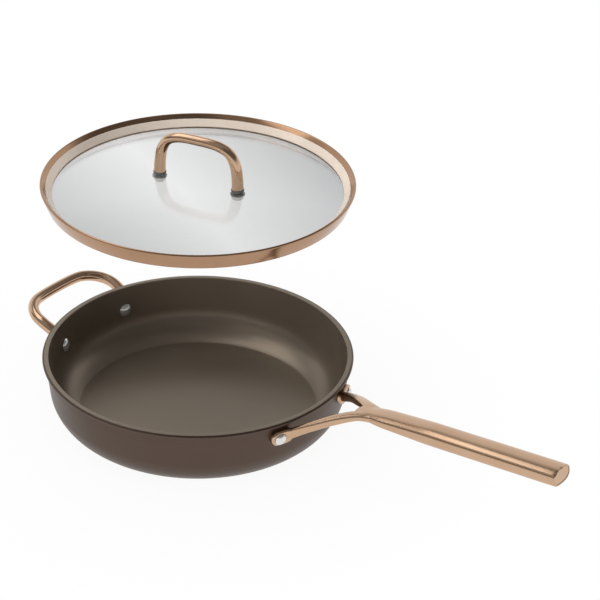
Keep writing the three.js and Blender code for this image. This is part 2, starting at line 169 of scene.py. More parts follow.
# Lid
LID_TURN = 12.5 * DEG
LID_OVERHANG = 0.00185
SHEET_T = 0.0008
FLARE = 21 * DEG             # lean of the rim's outer side
BEAD_R = 0.001
BEAD_Z = 0.0096
CHANNEL_GRIP = 0.0047
FLANGE_W = 0.0044
FOLD_BEND = 0.00015
FLARE_BEND = 0.0006
SLOPE_PAINTED_SHARE = 0.6             # share of the inner slope painted paler, as painted light; a point of the profile sits where it ends
UNDERCUT = -0.6              # faces of the fold that look down more than this get no painted light
GLASS_T = 0.004
GLASS_Z = -0.0036
GLASS_EDGE = 0.0008
DOME_MARGIN = 0.0011
DOME_RISE = 0.0095
DOME_STEPS = 40
# Painted shade on the lid's pane: its tint stays clear in a band across it and darkens away from
# the band
GLASS_SHADE_ACROSS = (0.4, 0.92, 0)
GLASS_SHADE_BAND = (-0.175, 0.13)  # along the direction above; the pane is clearest midway between these, and painted shade darkens its tint away from there
LID_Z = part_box("lid_rim")[0][2] + GAP + SHEET_T - GLASS_Z

# Lid handle
FOOT_U = 0.041
LOOP_HALF = (0.0057, 0.0046)
LOOP_HALF_W = (0.0057, 0.0052)
LOOP_PATH = [(0, 0), (0.0006, 0.011), (0.0028, 0.0232), (0.0085, 0.0332), (0.019, 0.0382)]
LOOP_TOP = 0.0396
RING_LIP = 0.0005
RING_T = 0.0018
RING_ROUND = 0.0005
SCREW_R = 0.0025
SCREW_HEAD_R = 0.006
SCREW_HEAD_T = 0.003
SCREW_ROUND = 0.0009
SCREW_BITE = 0.014
SEAL_R = 0.007
SEAL_T = 0.0015
SEAL_ROUND = 0.0004

# Camera, fitted to the photograph
SENSOR_MM = 36
CAMERA_LENS_MM = 130.73
CAMERA_PLACE = Vector((1.1725, -1.3973, 1.1781))
CAMERA_AZIMUTH = 36.92 * DEG
CAMERA_ELEVATION = 29.93 * DEG
CAMERA_ROLL = 1.55 * DEG

# Floor and light
GROUND_R = 40
GROUND_SHADOW_R = (0.16, 0.36)
GROUND_WHITE = 0.94          # share of plain white close to the object
GROUND_ROUGH = 0.9
GROUND_SHINE = 0.1
SKY = 0.95
SKY_SOFT = 0.1               # half width of the edge of a patch of the sky
OUT = 1.2                    # past every direction of the sky
HORIZON = {"z": (-OUT, 0.2)}  # plain white where it is seen
# Dimmer patches of the sky: brightness, and ranges of the direction
PATCHES = [
    (0.14, {"z": (0.05, 0.55), "y": (-OUT, -0.3)}),                  # low, in front of the pan
    (0.14, {"z": (0.05, OUT), "y": (-OUT, 0), "x": (0.05, OUT)}),    # front right, up to the top
    (0.35, {"z": (0.6, OUT), "y": (-OUT, 0.1), "x": (-OUT, 0.15)}),  # top at the front left
    (0.2, {"z": (0.6, OUT), "y": (0.1, 1.1)}),                       # top at the back
    (0.15, {"z": (0, OUT), "x": (0.4, OUT)}),                        # right side
]
# Lamps: place, point that each is aimed at, size and power
SOFTBOX = ((-0.75, -0.05, 1.35), (0.05, 0, 0.1), (1.3, 0.6), 3.9)
FILL = ((-0.2, -1.5, 0.45), (-0.05, 0.1, 0.06), (1.0, 0.25), 10)
HIGH_FILL = ((0.5, -0.6, 1.6), (0, 0, 0.15), (1.0, 1.0), 7.5)

# Colours, linear, in pairs that noise mixes
ANODISED = ((0.099, 0.069, 0.053), (0.109, 0.077, 0.060))
# Painted highlight: convex edges of the anodised outside, such as the lip, are lightened towards
# this colour
ANODISED_HIGHLIGHT = (0.19, 0.15, 0.12)
NONSTICK = ((0.238, 0.190, 0.144), (0.255, 0.206, 0.156))
ROSE_GOLD = ((0.565, 0.375, 0.245), (0.605, 0.41, 0.275))
COPPER = ((0.38, 0.225, 0.135), (0.43, 0.26, 0.16))
# Painted light: paler copper on the rim's inner slope, in its channel and on the pane's edge
PAINTED_LIGHT_COPPER = ((0.93, 0.79, 0.66), (0.95, 0.82, 0.70))
STEEL = ((0.74, 0.74, 0.73), (0.82, 0.82, 0.81))
# the pane's tint darkened by painted shade, then its clear tint in the band
PANE_SHADE_AND_TINT = ((0.47, 0.475, 0.48), (0.83, 0.835, 0.835))
DARK_SILICONE = ((0.11, 0.115, 0.12), (0.13, 0.135, 0.14))
PALE_SILICONE = ((0.78, 0.75, 0.70), (0.83, 0.80, 0.76))
GROUND = ((0.92, 0.92, 0.92), (0.95, 0.95, 0.95))

# Finish of the rose gold: how noise is stretched along the bar, and the range of roughness
BAR_FINISH = ((1, 1, 1), (0.14, 0.2))
STEM_FINISH = ((0.05, 1, 1), (0.235, 0.245))
EDGE_HIGHLIGHT_AT = (0.53, 0.62)          # pointiness at which the painted highlight on an edge starts, and where it is brightest


def arc(r, z, radius, start, end, steps=ARC_STEPS):
    """Points on an arc in the plane of radius and height."""
    turns = [start + (end - start) * i / steps for i in range(steps + 1)]
    return [(r + radius * math.cos(t), z + radius * math.sin(t)) for t in turns]


def between(ends, t):
    return ends[0] + (ends[1] - ends[0]) * t


def middle(t):
    """0 at both ends of a loop and 1 in its middle."""
    return math.sin(math.pi * t)


def mesh_object(name, vertices, faces, place=Matrix()):
    """A smooth-shaded mesh with its edges past CREASE kept sharp."""
    shape = bmesh.new()
    corners = [shape.verts.new(place @ Vector(v)) for v in vertices]
    for face in faces:
        shape.faces.new([corners[i] for i in face])
    bmesh.ops.recalc_face_normals(shape, faces=shape.faces)
    mesh = bpy.data.meshes.new(name)
    shape.to_mesh(mesh)
    shape.free()
    piece = bpy.data.objects.new(name, mesh)
    bpy.context.collection.objects.link(piece)
    shade(piece)
    return piece


def shade(piece):
    piece.data.shade_smooth()
    piece.data.set_sharp_from_angle(angle=CREASE)


def turned(name, profile, steps=SMALL_STEPS, place=Matrix(), closed=False):
    """Turns a profile of radius and height about Z. Face bands follow the profile, in its order."""
    vertices = []
    rings = []
    for r, z in profile:
        count = 1 if abs(r) < TINY else steps
        rings.append([len(vertices) + i for i in range(count)])
        for i in range(count):
            turn = 2 * math.pi * i / steps
            vertices.append((r * math.cos(turn), r * math.sin(turn), z))
    faces = []
    pairs = list(zip(rings, rings[1:] + rings[:1]))
    for lower, upper in pairs if closed else pairs[:-1]:
        for i in range(steps):
            j = (i + 1) % steps
            below = [lower[i % len(lower)], lower[j % len(lower)]]
            above = [upper[j % len(upper)], upper[i % len(upper)]]
            faces.append(list(dict.fromkeys(below + above)))
    return mesh_object(name, vertices, faces, place)


def smooth_path(knots, steps=PATH_STEPS):
    """Evenly spaced points on the smooth curve through the knots."""
    ends = [2 * knots[0] - knots[1], *knots, 2 * knots[-1] - knots[-2]]
    dense = []
    for p0, p1, p2, p3 in zip(ends, ends[1:], ends[2:], ends[3:]):
        t1 = math.sqrt((p1 - p0).length)
        t2 = t1 + math.sqrt((p2 - p1).length)
        t3 = t2 + math.sqrt((p3 - p2).length)
        for i in range(KNOT_STEPS):
            t = between((t1, t2), i / KNOT_STEPS)
            a1 = p0.lerp(p1, t / t1)
            a2 = p1.lerp(p2, (t - t1) / (t2 - t1))
            a3 = p2.lerp(p3, (t - t2) / (t3 - t2))
            b1 = a1.lerp(a2, t / t2)
            b2 = a2.lerp(a3, (t - t1) / (t3 - t1))
            dense.append(b1.lerp(b2, (t - t1) / (t2 - t1)))
    dense.append(knots[-1])
    reached = [0]
    for p, q in zip(dense, dense[1:]):
        reached.append(reached[-1] + (q - p).length)
    points = []
    k = 0
    for i in range(steps + 1):
        wanted = reached[-1] * i / steps
        while k < len(dense) - 2 and reached[k + 1] < wanted:
            k += 1
        share = (wanted - reached[k]) / (reached[k + 1] - reached[k])
        points.append(dense[k].lerp(dense[k + 1], share))
    return points


def section(a, b, top=2, bottom=None):
    """Outline with half sizes a and b; a flatness of 2 is an ellipse, more is squarer."""
    points = []
    for i in range(ROD_STEPS):
        turn = 2 * math.pi * i / ROD_STEPS
        c = math.cos(turn)
        s = math.sin(turn)
        power = 2 / (top if s >= 0 else bottom or top)
        x = math.copysign(abs(c) ** power, c) * a
        y = math.copysign(abs(s) ** power, s) * b
        points.append((x, y))
    return points


def swept(name, path, section_at, upright=UP):
    """Closed skin through sections set square to a path; section_at takes 0 to 1 along it."""
    vertices = []
    last = len(path) - 1
    for i, spot in enumerate(path):
        along = (path[min(i + 1, last)] - path[max(i - 1, 0)]).normalized()
        v = (upright - along * along.dot(upright)).normalized()
        u = v.cross(along)
        vertices += [spot + u * x + v * y for x, y in section_at(i / last)]
    faces = []
    for i in range(last):
        for j in range(ROD_STEPS):
            k = (j + 1) % ROD_STEPS
            here = i * ROD_STEPS
            there = here + ROD_STEPS
            faces.append([here + j, here + k, there + k, there + j])
    faces.append(list(range(ROD_STEPS)))
    faces.append([last * ROD_STEPS + j for j in range(ROD_STEPS)])
    return mesh_object(name, vertices, faces)


def fused(name, parts, cutters, smoothing):
    """Fuses overlapping parts into one skin with soft inner corners, cut to fit."""
    bpy.ops.object.select_all(action="DESELECT")
    for part in parts:
        part.select_set(True)
    body = parts[0]
    bpy.context.view_layer.objects.active = body
    bpy.ops.object.join()
    body.name = name
    pattern = body.data.copy()
    remesh = body.modifiers.new("skin", "REMESH")
    remesh.mode = "VOXEL"
    remesh.voxel_size = VOXEL
    soften = body.modifiers.new("soften", "SMOOTH")
    soften.factor = SOFTENING
    soften.iterations = smoothing
    for cutter in cutters:
        cut = body.modifiers.new("cut", "BOOLEAN")
        cut.operation = "DIFFERENCE"
        cut.solver = "EXACT"
        cut.object = cutter
    evaluated = body.evaluated_get(bpy.context.evaluated_depsgraph_get())
    body.data = bpy.data.meshes.new_from_object(evaluated)
    body.modifiers.clear()
    for cutter in cutters:
        bpy.data.objects.remove(cutter)
    shade(body)
    polish(body.data, pattern)
    bpy.data.meshes.remove(pattern)
    return body


def polish(skin, pattern):
    """Shades a skin like the parts it was fused from, blended where it leaves them."""
    corners = [v.co.copy() for v in pattern.vertices]
    rings = [list(face.vertices) for face in pattern.polygons]
    tree = BVHTree.FromPolygons(corners, rings)
    directions = numpy.empty((len(skin.vertices), 3))
    for row, vertex, plain in zip(directions, skin.vertices, skin.vertex_normals):
        spot, _, index, away = tree.find_nearest(vertex.co)
        weights = poly_3d_calc([corners[i] for i in rings[index]], spot)
        loops = pattern.polygons[index].loop_indices
        normals = [pattern.corner_normals[loop].vector * w for loop, w in zip(loops, weights)]
        direction = sum(normals, Vector()).normalized()
        along = away < SKIN_NEAR and direction.dot(plain.vector) > SKIN_ALONG
        row[:] = direction if along else plain.vector
    ends = numpy.array([edge.vertices[:] for edge in skin.edges])
    sharp = ends[[edge.use_edge_sharp for edge in skin.edges]].ravel()
    directions[sharp] = 0
    for _ in range(SKIN_BLEND):
        shared = directions.copy()
        numpy.add.at(shared, ends[:, 0], directions[ends[:, 1]])
        numpy.add.at(shared, ends[:, 1], directions[ends[:, 0]])
        lengths = numpy.linalg.norm(shared, axis=1, keepdims=True)
        directions = shared / numpy.maximum(lengths, TINY)
        directions[sharp] = 0
    skin.normals_split_custom_set_from_vertices(directions)


def wall_at(z):
    """Outer radius of the wall's straight part."""
    return LIP_R - LIP_REACH + (z - RIM_Z + LIP_T) * math.tan(WALL_LEAN)


def inner_wall_at(z):
    return wall_at(z) - WALL_T / math.cos(WALL_LEAN)


def wall_frame(angle, z):
    """Frame on the wall's outside: x along the wall, y up it, z out of it."""
    radial = Vector((math.cos(angle), math.sin(angle), 0))
    outward = radial * math.cos(WALL_LEAN) - UP * math.sin(WALL_LEAN)
    along = Vector((-math.sin(angle), math.cos(angle), 0))
    frame = Matrix((along, outward.cross(along), outward)).transposed().to_4x4()
    frame.translation = radial * wall_at(z) + UP * z
    return frame


LONG_RIVETS = {
    "front": wall_frame(-LONG_RIVET_ANGLE, RIM_Z - LONG_RIVET_DROP),
    "back": wall_frame(LONG_RIVET_ANGLE, RIM_Z - LONG_RIVET_DROP),
}
SIDE_RIVETS = {
    "front": wall_frame(math.pi + SIDE_RIVET_ANGLE, RIM_Z - SIDE_RIVET_DROP),
    "back": wall_frame(math.pi - SIDE_RIVET_ANGLE, RIM_Z - SIDE_RIVET_DROP),
}


class Nodes:
    """Short way to add and join the nodes of one material or of the world."""

    def __init__(self, tree):
        self.tree = tree
        self.shader = tree.nodes.get("Principled BSDF")
        self.place = tree.nodes.new("ShaderNodeTexCoord").outputs["Object"]

    @classmethod
    def of(cls, name):
        """Nodes of a new material."""
        material = bpy.data.materials.new(name)
        material.use_nodes = True
        made = cls(material.node_tree)
        made.material = material
        return made

    def add(self, kind, inputs=None, **settings):
        made = self.tree.nodes.new("ShaderNode" + kind)
        for key, value in settings.items():
            setattr(made, key, value)
        for key, value in (inputs or {}).items():
            if isinstance(value, bpy.types.NodeSocket):
                self.tree.links.new(value, made.inputs[key])
            else:
                made.inputs[key].default_value = value
        return made

    def noise(self, scale, stretch=(1, 1, 1), place=None, detail=3.0):
        spread = self.add("Mapping", {"Vector": place or self.place, "Scale": stretch})
        settings = {"Vector": spread.outputs[0], "Scale": scale, "Detail": detail}
        return self.add("TexNoise", settings).outputs["Fac"]

    def ranged(self, value, low, high, start=0.3, end=0.7):
        inputs = {"Value": value, "From Min": start, "From Max": end, "To Min": low, "To Max": high}
        return self.add("MapRange", inputs).outputs[0]

    def mixed(self, value, first, second):
        mix = self.add("Mix", data_type="RGBA")
        self.tree.links.new(value, mix.inputs["Factor"])
        for socket, colour in ((mix.inputs[6], first), (mix.inputs[7], second)):
            if isinstance(colour, bpy.types.NodeSocket):
                self.tree.links.new(colour, socket)
            else:
                socket.default_value = (*colour, 1)
        return mix.outputs[2]

    def round_axis(self):
        """Radius and height, for marks that run round the Z axis."""
        parts = self.add("SeparateXYZ", {"Vector": self.place}).outputs
        flat = self.add("CombineXYZ", {"X": parts[0], "Y": parts[1]})
        radius = self.add("VectorMath", {0: flat.outputs[0]}, operation="LENGTH").outputs["Value"]
        return self.add("CombineXYZ", {"X": radius, "Y": parts[2]}).outputs[0]

    def edge_highlight(self, colour, highlight_colour):
        """Paints a highlight on convex edges, such as the lip, by lightening their colour."""
        edges = self.ranged(self.add("NewGeometry").outputs["Pointiness"], 0, 1, *EDGE_HIGHLIGHT_AT)
        return self.mixed(edges, colour, highlight_colour)

    def finish(self, colour, roughness, bump, distance, **uniform):
        self.tree.links.new(colour, self.shader.inputs["Base Color"])
        self.tree.links.new(roughness, self.shader.inputs["Roughness"])
        raised = self.add("Bump", {"Height": bump, "Strength": 1.0, "Distance": distance})
        self.tree.links.new(raised.outputs[0], self.shader.inputs["Normal"])
        for key, value in uniform.items():
            self.shader.inputs[key.replace("_", " ")].default_value = value
        return self.material


def anodised():
    """Brown hard-anodised aluminium outside, with faint marks of spinning and a painted highlight
    lightening its convex edges.
    """
    n = Nodes.of("anodised")
    spun = n.noise(900, (1, 1, 1), n.round_axis(), 2.0)
    cloud = n.noise(9)
    colour = n.mixed(n.ranged(cloud, 0, 1), *ANODISED)
    # painted highlight on the convex edges, such as the lip
    colour = n.edge_highlight(colour, ANODISED_HIGHLIGHT)
    return n.finish(colour, n.ranged(spun, 0.36, 0.46), spun, 0.000015, Metallic=0.95)


def nonstick():
    """Dark ceramic coating inside, with a fine orange peel."""
    n = Nodes.of("nonstick")
    peel = n.noise(1400, detail=2.0)
    cloud = n.noise(14)
    colour = n.mixed(n.ranged(cloud, 0, 1), *NONSTICK)
    return n.finish(colour, n.ranged(cloud, 0.28, 0.34), peel, 0.000012, Metallic=0.6)


def rose_gold(name, along, rough):
    """Rose gold plated steel, softly polished along the bar."""
    n = Nodes.of(name)
    lines = n.noise(700, along, detail=2.0)
    cloud = n.noise(22)
    colour = n.mixed(n.ranged(cloud, 0, 1), *ROSE_GOLD)
    return n.finish(colour, n.ranged(lines, *rough), lines, 0.0000015, Metallic=1.0)


def rim_metal():
    """Copper coloured sheet of the lid's rim, polished round its edge."""
    n = Nodes.of("rim_metal")
    lines = n.noise(1500, (1, 1, 1), n.round_axis(), 2.0)
    cloud = n.noise(18)
    colour = n.mixed(n.ranged(cloud, 0, 1), *COPPER)
    return n.finish(colour, n.ranged(lines, 0.14, 0.22), lines, 0.000006, Metallic=1.0)


def steel():
    """Polished stainless steel with fine scratches."""
    n = Nodes.of("steel")
    scratches = n.noise(600, (1, 6, 1), detail=4.0)
    cloud = n.noise(60)
    colour = n.mixed(n.ranged(cloud, 0, 1), *STEEL)
    return n.finish(colour, n.ranged(scratches, 0.16, 0.26), scratches, 0.000006, Metallic=0.85)


def rim_painted_light():
    """Paler, less metallic copper of the lid's rim, softly brushed: painted light on the inner
    slope, in the channel and on the pane's edge.
    """
    n = Nodes.of("rim_painted_light")
    lines = n.noise(1500, (1, 1, 1), n.round_axis(), 2.0)
    cloud = n.noise(18)
    colour = n.mixed(n.ranged(cloud, 0, 1), *PAINTED_LIGHT_COPPER)
    return n.finish(colour, n.ranged(lines, 0.3, 0.38), lines, 0.000006, Metallic=0.2)


def glass():
    """Lightly grey glass with the faint waves of the press; painted shade darkens its tint away
    from a band across it, where it is clearest.
    """
    n = Nodes.of("pane")
    waves = n.noise(26, detail=1.0)
    smears = n.noise(40)
    place = {0: n.place, 1: GLASS_SHADE_ACROSS}
    along = n.add("VectorMath", place, operation="DOT_PRODUCT").outputs["Value"]
    across = n.ranged(along, -1, 1, *GLASS_SHADE_BAND)
    clear = n.ranged(n.add("Math", {0: across}, operation="ABSOLUTE").outputs[0], 1, 0, 0, 1)
    # painted shade: the tint darkens away from the band
    colour = n.mixed(clear, *PANE_SHADE_AND_TINT)
    uniform = {"Transmission_Weight": 1.0, "IOR": 1.5}
    return n.finish(colour, n.ranged(smears, 0.0, 0.015), waves, 0.00004, **uniform)


def silicone(name, colours):
    """Matt silicone."""
    n = Nodes.of(name)
    grain = n.noise(2500, detail=2.0)
    cloud = n.noise(120)
    colour = n.mixed(n.ranged(cloud, 0, 1), *colours)
    return n.finish(colour, n.ranged(cloud, 0.5, 0.65), grain, 0.00002)


def dress(piece, node, body, slot, *materials):
    """Gives a piece its materials and puts it in the place of a CAD node."""
    piece.data.materials.clear()
    for material in materials:
        piece.data.materials.append(material)
    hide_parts(node)
    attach(piece, body)


def pan_body():
    """Outside with the rolled lip, then the inside, which has its own material."""
    bead = LIP_T / 2
    under = RIM_Z - LIP_T
    cove_z = FLOOR_T + COVE_R * math.cos(FLOOR_EDGE)
    fillet = LIP_INNER_FILLET
    base_r = wall_at(CORNER_R) - CORNER_R / math.cos(WALL_LEAN)
    cove_r = inner_wall_at(cove_z) - COVE_R / math.cos(WALL_LEAN)
    outside = [
        (0, 0),
        (base_r / 2, 0),
        *arc(base_r, CORNER_R, CORNER_R, -HALF, -WALL_LEAN, CORNER_STEPS),
        *arc(wall_at(under) + LIP_FILLET, under - LIP_FILLET, LIP_FILLET, math.pi, HALF),
        *arc(LIP_R - bead, RIM_Z - bead, bead, -HALF, HALF),
    ]
    inside = [
        *arc(inner_wall_at(RIM_Z) + fillet, RIM_Z - fillet, fillet, HALF, math.pi - WALL_LEAN),
        *arc(cove_r, cove_z, COVE_R, -WALL_LEAN, FLOOR_EDGE - HALF, CORNER_STEPS),
        (cove_r / 2, FLOOR_T),
        (0, FLOOR_T),
    ]
    piece = turned("pan_shell", outside + inside, ROUND_STEPS)
    split = (len(outside) - 1) * ROUND_STEPS
    dress(piece, "pan_body", "pan", "anodised", anodised(), nonstick())
    for face in piece.data.polygons[split:]:
        face.material_index = 1


def pan_space():
    """What a handle may not enter: the pan's wall and lip with a gap round them."""
    top = RIM_Z + CORNER_R
    under = RIM_Z - LIP_T - LIP_FILLET - GAP
    profile = [
        (0, 0), (wall_at(0) + GAP, 0), (wall_at(under) + GAP, under),
        (LIP_R + GAP, under), (LIP_R + GAP, top), (0, top),
    ]
    return turned("pan_space", profile, ROUND_STEPS)


def pad(frame, length, width, shift, upright):
    """Round-ended pad on the wall, long along x of the wall's frame, or along y if upright."""
    rows = arc(width / 2 - PAD_ROUND, PAD_T - PAD_ROUND, PAD_ROUND, 0, HALF, EDGE_STEPS)
    heights = [(width / 2, -PAD_T), *rows]
    outline = []
    steps = ROD_STEPS // 2
    for side, start in ((1, -HALF), (-1, HALF)):
        outline += [(side, start + math.pi * i / (steps - 1)) for i in range(steps)]
    vertices = []
    end = (length - width) / 2
    for r, z in heights:
        for side, turn in outline:
            vertices.append((shift + side * end + r * math.cos(turn), r * math.sin(turn), z))
    count = len(outline)
    faces = [list(range(count)), [(len(heights) - 1) * count + j for j in range(count)]]
    for i in range(len(heights) - 1):
        for j in range(count):
            k = (j + 1) % count
            faces.append([i * count + j, i * count + k, (i + 1) * count + k, (i + 1) * count + j])
    turn = Matrix.Rotation(HALF if upright else 0, 4, "Z")
    return mesh_object("pad", vertices, faces, frame @ turn)


def rivet_room(frame):
    """What is cut from a handle at a rivet: room for the shank and for the head on the pad."""
    hole = RIVET_SHANK_R + GAP
    head = RIVET_HEAD_R + GAP
    top = PAD_T + REACH
    profile = [(0, -REACH), (hole, -REACH), (hole, PAD_T), (head, PAD_T), (head, top), (0, top)]
    return turned("rivet_room", profile, SMALL_STEPS, frame)


def size_at(sizes, t, column):
    """Value of a column of a list of sizes at fraction t, held past the end."""
    t = min(t, 1)
    after = max(1, next(i for i, row in enumerate(sizes) if row[0] >= t))
    first, second = sizes[after - 1], sizes[after]
    return between((first[column], second[column]), (t - first[0]) / (second[0] - first[0]))


def from_lip(reach, y, height):
    return Vector((LIP_R + reach, y, RIM_Z + height))


STEM_LINE = smooth_path([from_lip(reach, 0, height) for reach, height in STEM_PATH])
STEM_LENGTH = sum((q - p).length for p, q in zip(STEM_LINE, STEM_LINE[1:]))
STEM_END = (STEM_LINE[-1] - STEM_LINE[-2]).normalized()


def eased_size(sizes, t, column):
    """Like size_at, with its corners rounded off."""
    spots = [min(max(t + EASE * i / EASE_STEPS, 0), 1) for i in range(-EASE_STEPS, EASE_STEPS + 1)]
    return sum(size_at(sizes, spot, column) for spot in spots) / len(spots)


def stem_section(t, inset=0):
    a = eased_size(STEM_SIZES, t, 1) - inset
    b = eased_size(STEM_SIZES, t, 2) - inset
    return section(a, b, STEM_TOP_FLATNESS, STEM_BOTTOM_FLATNESS)


def at_stem_end(name, start, end, inset):
    """Short length of the stem's shape at its outer end, from start to end behind the end face."""
    path = [STEM_LINE[-1] - STEM_END * between((start, end), i / 2) for i in range(3)]

    def section_at(t):
        return stem_section(1 - between((start, end), t) / STEM_LENGTH, inset)

    return swept(name, path, section_at)


def leg(side):
    angle = LONG_RIVET_ANGLE - LEG_END_ANGLE
    z = RIM_Z - LONG_RIVET_DROP
    out = wall_at(z) + PAD_T / 2
    end = Vector((out * math.cos(angle), side * out * math.sin(angle), z))
    path = smooth_path([*(from_lip(reach, side * y, height) for reach, y, height in LEG_PATH), end])

    def section_at(t):
        return section(eased_size(LEG_SIZES, t, 1), eased_size(LEG_SIZES, t, 2), LEG_FLATNESS)

    return swept("leg", path, section_at)


def long_handle(metal):
    parts = [swept("stem", STEM_LINE, stem_section), leg(1), leg(-1)]
    cutters = [pan_space()]
    for side, frame in LONG_RIVETS.items():
        shift = LONG_PAD_SHIFT if side == "front" else -LONG_PAD_SHIFT
        parts.append(pad(frame, LONG_PAD_L, LONG_PAD_H, shift, False))
        cutters.append(rivet_room(frame))
    cutters.append(at_stem_end("cap_room", -CAP_T, CAP_T + CAP_INSET, CAP_RIM))
    piece = fused("long_handle_skin", parts, cutters, FORK_SMOOTHING)
    dress(piece, "long_handle", "pan", "rose_gold", metal)
    cap = at_stem_end("handle_end_plate", CAP_INSET, CAP_T + CAP_INSET - GAP, CAP_RIM + CAP_GAP)
    dress(cap, "long_handle_end_cap", "pan", "rose_gold", metal)


def side_handle(metal):
    root_z = RIM_Z - SIDE_ROOT_DROP
    root_x = wall_at(root_z) * math.cos(SIDE_ROOT_ANGLE)
    root_y = wall_at(root_z) * math.sin(SIDE_ROOT_ANGLE)
    bar_x = LIP_R + SIDE_BAR_REACH
    rise = RIM_Z + SIDE_BAR_RISE - root_z
    bend_y = root_y + SIDE_SPLAY - SIDE_BEND_R
    bend = arc(bar_x - SIDE_BEND_R, bend_y, SIDE_BEND_R, HALF, 0, SIDE_BEND_STEPS)
    half = []
    for x, y in [(root_x, root_y), *bend]:
        height = rise * ((x - root_x) / (bar_x - root_x)) ** SIDE_EASE
        half.append(Vector((-x, y, root_z + height)))
    path = smooth_path([*half, *(Vector((p.x, -p.y, p.z)) for p in reversed(half))])
    rod = swept("rod", path, lambda t: section(*[between(SIDE_HALF, middle(t))] * 2))
    pads = [pad(f, SIDE_PAD_L, SIDE_PAD_W, SIDE_PAD_SHIFT, True) for f in SIDE_RIVETS.values()]
    cutters = [pan_space(), *(rivet_room(f) for f in SIDE_RIVETS.values())]
    piece = fused("side_handle_skin", [rod, *pads], cutters, SIDE_SMOOTHING)
    dress(piece, "side_handle", "pan", "rose_gold", metal)


def head_arc(head_r, foot):
    """Arc of a rivet's head from its middle to its edge, above height foot."""
    ball_r = (head_r ** 2 + RIVET_DOME ** 2) / (2 * RIVET_DOME)
    spread = math.asin(head_r / ball_r)
    top = foot + RIVET_DOME
    return [(0, top), *arc(0, top - ball_r, ball_r, HALF, HALF - spread)[1:]]


def rivets(metal):
    """Domed heads inside the wall and on a pad, with the shank between them."""
    inner = -WALL_T - 2 * GAP
    outer = PAD_T + GAP
    profile = [
        *((r, -z) for r, z in head_arc(RIVET_INNER_R, RIVET_EDGE - inner)),
        (RIVET_INNER_R, inner),
        (RIVET_SHANK_R, inner),
        (RIVET_SHANK_R, outer),
        (RIVET_HEAD_R, outer),
        *reversed(head_arc(RIVET_HEAD_R, outer + RIVET_EDGE)),
    ]
    for handle, frames in (("long_handle", LONG_RIVETS), ("side_handle", SIDE_RIVETS)):
        for side, frame in frames.items():
            piece = turned(f"{handle}_{side}_rivet", profile, SMALL_STEPS, frame)
            dress(piece, f"{handle}_rivet_{side}", "pan", "steel", metal)


LID_PLACE = Matrix.Translation(UP * LID_Z) @ Matrix.Rotation(LID_TURN, 4, "Z")
FEET = {"left": -FOOT_U, "right": FOOT_U}

# Radii of the lid, from the pan's mouth
MOUTH_R = inner_wall_at(RIM_Z)
BEAD_MIDDLE_R = MOUTH_R + LID_OVERHANG - SHEET_T / 2 - BEAD_R


def flare_at(z):
    """Middle of the sheet on the rim's outer side, a cone that touches the bead."""
    return BEAD_MIDDLE_R + BEAD_R / math.cos(FLARE) + (z - BEAD_Z) * math.tan(FLARE)


GLASS_R = flare_at(GLASS_Z) - SHEET_T / 2 / math.cos(FLARE) - GAP
FOLD_R = GLASS_R - FLANGE_W
# where the painted light on the inner slope ends, and a point of the rim's profile
SLOPE_R = between((FOLD_R, BEAD_MIDDLE_R), SLOPE_PAINTED_SHARE)
DOME_R = FOLD_R - DOME_MARGIN
GLASS_TOP = GLASS_Z + GLASS_T


def dome(r):
    return DOME_RISE * (1 - (r / DOME_R) ** 2)


# Heights of what is stacked at each foot
RING_R = LOOP_HALF[0] + RING_LIP
RING_Z = GLASS_TOP + dome(FOOT_U - RING_R) + GAP
FOOT_Z = RING_Z + RING_T + GAP
SEAL_TOP = GLASS_Z + dome(FOOT_U + SEAL_R) - GAP
SCREW_SEAT = SEAL_TOP - SEAL_T - GAP


def sheet_outline(path, thickness):
    """Closed outline of a sheet bent along a path of radius and height."""
    points = [Vector(p) for p in path]
    sides = ([], [])
    for i, p in enumerate(points):
        before = (p - points[i - 1]).normalized() if i else None
        after = (points[i + 1] - p).normalized() if i < len(points) - 1 else None
        one = before or after
        along = (one + (after or before)).normalized()
        reach = thickness / 2 / along.dot(one)
        for side, sign in zip(sides, (1, -1)):
            side.append((p.x + sign * along.y * reach, p.y - sign * along.x * reach))
    return [*sides[0], *reversed(sides[1])]


def lid_rim(metal, painted_light_metal):
    """One bent sheet: upper leg on the pane, fold, slope, rolled bead, flare and lower leg."""
    half = SHEET_T / 2
    lower = GLASS_Z - GAP - half
    upper = GLASS_TOP + LEG_GAP + half
    bend = FLARE_BEND
    bend_r = flare_at(lower + bend) - bend / math.cos(FLARE)
    slope = math.atan2(BEAD_Z + BEAD_R - upper - 2 * FOLD_BEND, BEAD_MIDDLE_R - FOLD_R)
    path = [
        (GLASS_R, upper),
        *arc(FOLD_R, upper + FOLD_BEND, FOLD_BEND, -HALF, -3 * HALF + slope),
        (SLOPE_R, between((upper + 2 * FOLD_BEND, BEAD_Z + BEAD_R), SLOPE_PAINTED_SHARE)),
        *arc(BEAD_MIDDLE_R, BEAD_Z, BEAD_R, HALF + slope, -FLARE),
        *arc(bend_r, lower + bend, bend, -FLARE, -HALF, EDGE_STEPS),
        (flare_at(lower) - CHANNEL_GRIP, lower),
    ]
    outline = sheet_outline(path, SHEET_T)
    piece = turned("lid_rim_sheet", outline, ROUND_STEPS, LID_PLACE, closed=True)
    dress(piece, "lid_rim", "lid", "rim_metal", metal, painted_light_metal)
    # The inner slope and the faces in the channel take the paler second material: painted light,
    # for the slope's bright reflection and over the shade in the channel
    to_lid = LID_PLACE.inverted()
    for face in piece.data.polygons:
        spot = to_lid @ face.center
        inward = face.normal.x * face.center.x + face.normal.y * face.center.y < 0
        on_slope = spot.xy.length < SLOPE_R and inward and face.normal.z > UNDERCUT
        in_channel = spot.xy.length < GLASS_R and lower < spot.z < upper
        if on_slope or in_channel:
            face.material_index = 1


